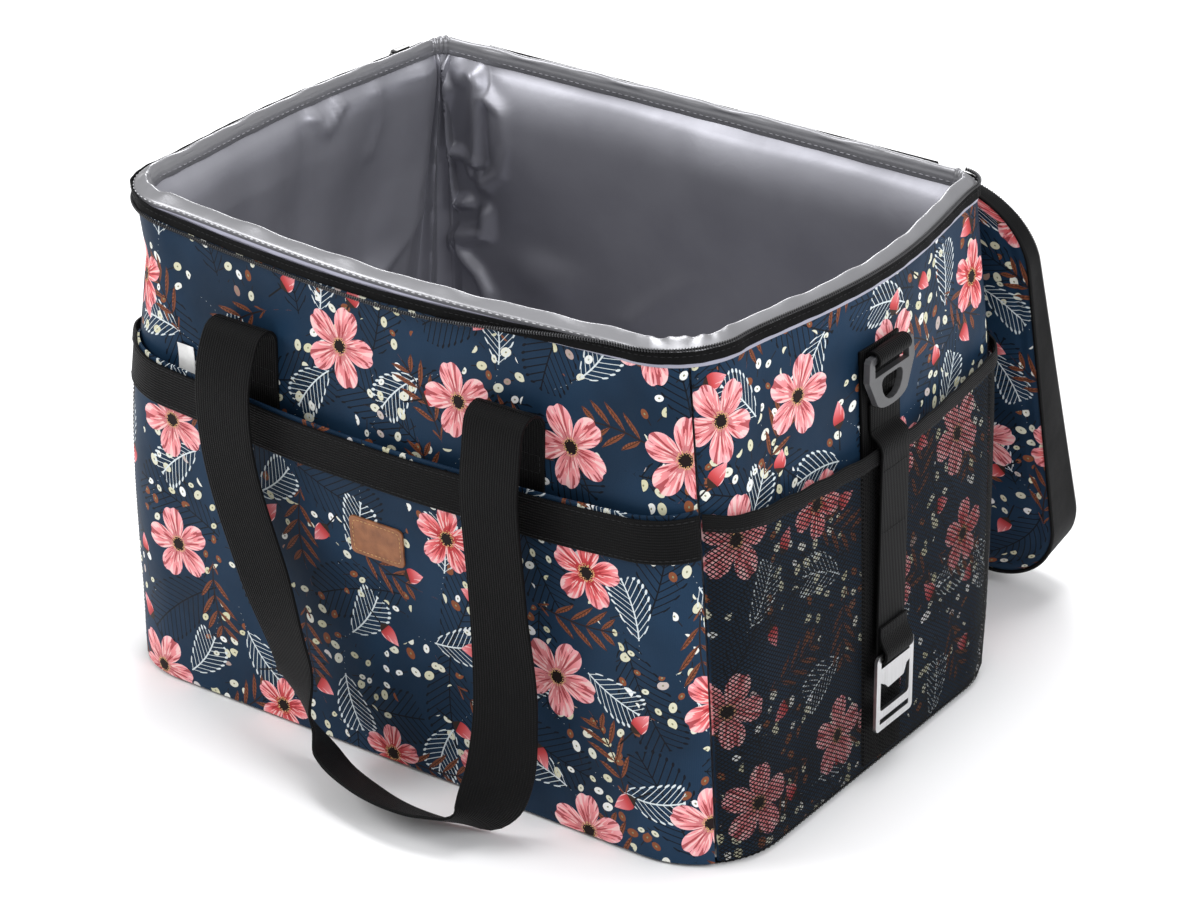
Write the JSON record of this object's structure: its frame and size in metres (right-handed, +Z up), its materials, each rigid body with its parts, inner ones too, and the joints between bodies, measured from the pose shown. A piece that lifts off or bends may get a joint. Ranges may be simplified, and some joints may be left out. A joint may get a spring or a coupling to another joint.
{
  "type": "insulated cooler bag",
  "caption": "Soft insulated cooler bag standing open: lid folded back, webbing handles, a slip pocket in front, mesh pockets at the ends, carry rings and a bottle opener on a strap.",
  "frame": {"origin": "centre of the base's underside, where it stands on the floor", "axes": "+Z up, +X to the end with the bottle opener, -Y to the front with the leather patch"},
  "size_m": [0.4515, 0.4736, 0.305],
  "materials": {
    "printed_cloth": "woven polyester with a floral print in pink, cream and rust on navy",
    "black_cloth": "plain black woven tape and cloth",
    "black_webbing": "ribbed black polypropylene webbing",
    "black_mesh": "open black net over the print",
    "grey_lining": "satin silver-grey heat-welded film",
    "foam": "closed-cell foam, hidden",
    "brown_leather": "matte, bare",
    "white_label": "plain white woven label, blank",
    "dark_plastic": "moulded, satin dark grey",
    "black_metal": "black painted zinc",
    "steel": "satin stamped steel"
  },
  "bodies": {
    "bag": {"front_panel": "printed_cloth", "back_panel": "printed_cloth", "left_panel": "printed_cloth", "right_panel": "printed_cloth", "front_pocket": "printed_cloth", "base_panel": "black_cloth", "rim_tape": "black_cloth", "rim_coil": "black_cloth", "left_pocket_binding": "black_cloth", "right_pocket_binding": "black_cloth", "hinge_tape": "black_cloth", "front_band": "black_webbing", "back_band": "black_webbing", "front_handle_left_tab": "black_webbing", "front_handle_right_tab": "black_webbing", "back_handle_left_tab": "black_webbing", "back_handle_right_tab": "black_webbing", "left_side_band": "black_webbing", "right_side_band": "black_webbing", "left_ring_loop": "black_webbing", "right_ring_loop": "black_webbing", "opener_strap_anchor": "black_webbing", "left_mesh_pocket": "black_mesh", "right_mesh_pocket": "black_mesh", "liner_tub": "grey_lining", "left_hem": "grey_lining", "front_hem": "grey_lining", "right_hem": "grey_lining", "back_hem": "grey_lining", "base_foam": "foam", "left_foam": "foam", "front_foam": "foam", "right_foam": "foam", "back_foam": "foam", "leather_patch": "brown_leather", "pocket_label": "white_label"},
    "hinge_strip": {"hinge_strip": "black_cloth"},
    "lid": {"lid_panel": "printed_cloth", "lid_foam": "foam", "lid_lining": "grey_lining", "lid_gusset": "black_cloth", "lid_coil": "black_cloth"},
    "front_handle": {"front_handle": "black_webbing"},
    "back_handle": {"back_handle": "black_webbing"},
    "left_ring": {"left_ring": "dark_plastic"},
    "right_ring": {"right_ring": "dark_plastic"},
    "opener_strap": {"opener_strap": "black_webbing"},
    "bottle_opener": {"bottle_opener": "steel"},
    "zipper_slider": {"zipper_slider": "black_metal"},
    "zipper_pull": {"zipper_pull": "black_metal"}
  },
  "joints": [
    {"name": "hinge_strip_swing", "type": "hinge", "parent": "bag", "child": "hinge_strip", "pos_m": [0, 0.1503, 0.301], "axis": [1, 0, 0], "range_deg": [0, 155.2]},
    {"name": "lid_fold", "type": "hinge", "parent": "hinge_strip", "child": "lid", "pos_m": [0, 0.15685, 0.28695], "axis": [1, 0, 0], "range_deg": [0, 97]},
    {"name": "front_handle_swing", "type": "hinge", "parent": "bag", "child": "front_handle", "pos_m": [0, -0.1631, 0.25415], "axis": [-1, 0, 0], "range_deg": [0, 160]},
    {"name": "back_handle_swing", "type": "hinge", "parent": "bag", "child": "back_handle", "pos_m": [0, 0.1535, 0.25415], "axis": [1, 0, 0], "range_deg": [0, 7]},
    {"name": "right_ring_swing", "type": "hinge", "parent": "bag", "child": "right_ring", "pos_m": [0.21724, 0.005, 0.257], "axis": [0, -1, 0], "range_deg": [0, 150]},
    {"name": "left_ring_swing", "type": "hinge", "parent": "bag", "child": "left_ring", "pos_m": [-0.21265, 0.005, 0.257], "axis": [0, 1, 0], "range_deg": [0, 150]},
    {"name": "opener_strap_swing", "type": "hinge", "parent": "bag", "child": "opener_strap", "pos_m": [0.2163, 0.005, 0.213], "axis": [0, -1, 0], "range_deg": [0, 115]},
    {"name": "opener_tilt", "type": "hinge", "parent": "opener_strap", "child": "bottle_opener", "pos_m": [0.22614, 0.005, 0.076], "axis": [0, -1, 0], "range_deg": [0, 110]},
    {"name": "slider_slide", "type": "slide", "parent": "bag", "child": "zipper_slider", "axis": [-0.1057, -0.9944, 0], "range_m": [0, 0.025]},
    {"name": "pull_flip", "type": "hinge", "parent": "zipper_slider", "child": "zipper_pull", "pos_m": [-0.20244, 0.11855, 0.2972], "axis": [0.1057, 0.9944, 0], "range_deg": [0, 120]}
  ]
}
